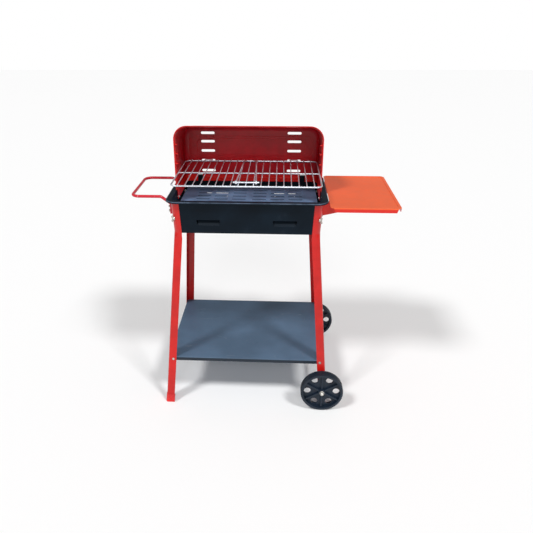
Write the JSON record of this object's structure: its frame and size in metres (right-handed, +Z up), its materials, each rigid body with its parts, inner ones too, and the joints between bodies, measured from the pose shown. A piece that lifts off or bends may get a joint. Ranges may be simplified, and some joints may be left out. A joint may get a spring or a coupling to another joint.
{
  "type": "charcoal barbecue trolley",
  "caption": "Trolley charcoal barbecue with a pressed firebox, wind shield, adjustable wire grill, side table, side handle, lower shelf and a pair of wheels.",
  "frame": {"origin": "on the ground under the middle of the whole outline", "axes": "+Z up, -Y towards the open front of the wind shield, +X towards the side table and the wheels"},
  "size_m": [0.888, 0.567, 0.961],
  "materials": {
    "firebox_black": "satin",
    "grate_grey": "satin",
    "shield_red": "gloss",
    "leg_red": "gloss",
    "cap_red": "gloss",
    "shelf_grey": "satin",
    "zinc": "bright",
    "wheel_black": "satin",
    "handle_red": "gloss",
    "table_orange": "gloss",
    "chrome_wire": "bright"
  },
  "bodies": {
    "frame": {"firebox": "firebox_black", "wind_shield": "shield_red", "leg_front_left": "leg_red", "leg_rear_left": "leg_red", "leg_front_right": "leg_red", "leg_rear_right": "leg_red", "foot_cap_front": "cap_red", "foot_cap_rear": "cap_red", "lower_shelf": "shelf_grey", "axle": "zinc", "axle_washers": "zinc", "axle_cap_nuts": "zinc", "side_handle": "handle_red", "side_table": "table_orange", "table_bracket_front": "table_orange", "table_bracket_rear": "table_orange", "leg_bolts": "zinc", "wing_nuts": "zinc", "shelf_bolts": "zinc", "shelf_bolt_nuts": "zinc", "handle_bolts": "zinc", "handle_bolt_nuts": "zinc", "table_bolts": "zinc", "table_bolt_nuts": "zinc", "shield_side_screws": "zinc", "shield_side_screw_nuts": "zinc", "shield_rear_screws": "zinc", "shield_rear_screw_nuts": "zinc"},
    "front_wheel": {"wheel_front": "wheel_black"},
    "rear_wheel": {"wheel_rear": "wheel_black"},
    "charcoal_grate_body": {"charcoal_grate": "grate_grey"},
    "cooking_grill": {"grill_frame": "chrome_wire", "grill_bars": "chrome_wire", "grill_middle_wire": "chrome_wire", "grill_hooks": "chrome_wire", "grill_handle_rod": "chrome_wire"},
    "grill_handle_body": {"grill_handle": "chrome_wire"}
  },
  "joints": [
    {"name": "front_wheel_spin", "type": "hinge", "parent": "frame", "child": "front_wheel", "pos_m": [0.22, -0.2558, 0.075], "axis": [0, 1, 0], "continuous": true},
    {"name": "rear_wheel_spin", "type": "hinge", "parent": "frame", "child": "rear_wheel", "pos_m": [0.22, 0.2558, 0.075], "axis": [0, 1, 0], "continuous": true},
    {"name": "charcoal_grate_lift", "type": "slide", "parent": "frame", "child": "charcoal_grate_body", "axis": [0, 0, 1], "range_m": [0, 0.045]},
    {"name": "grill_slide", "type": "slide", "parent": "frame", "child": "cooking_grill", "axis": [0, -1, 0], "range_m": [0, 0.15]},
    {"name": "grill_handle_fold", "type": "hinge", "parent": "cooking_grill", "child": "grill_handle_body", "pos_m": [-0.051, -0.163, 0.8075], "axis": [1, 0, 0], "range_deg": [0, 26]}
  ]
}
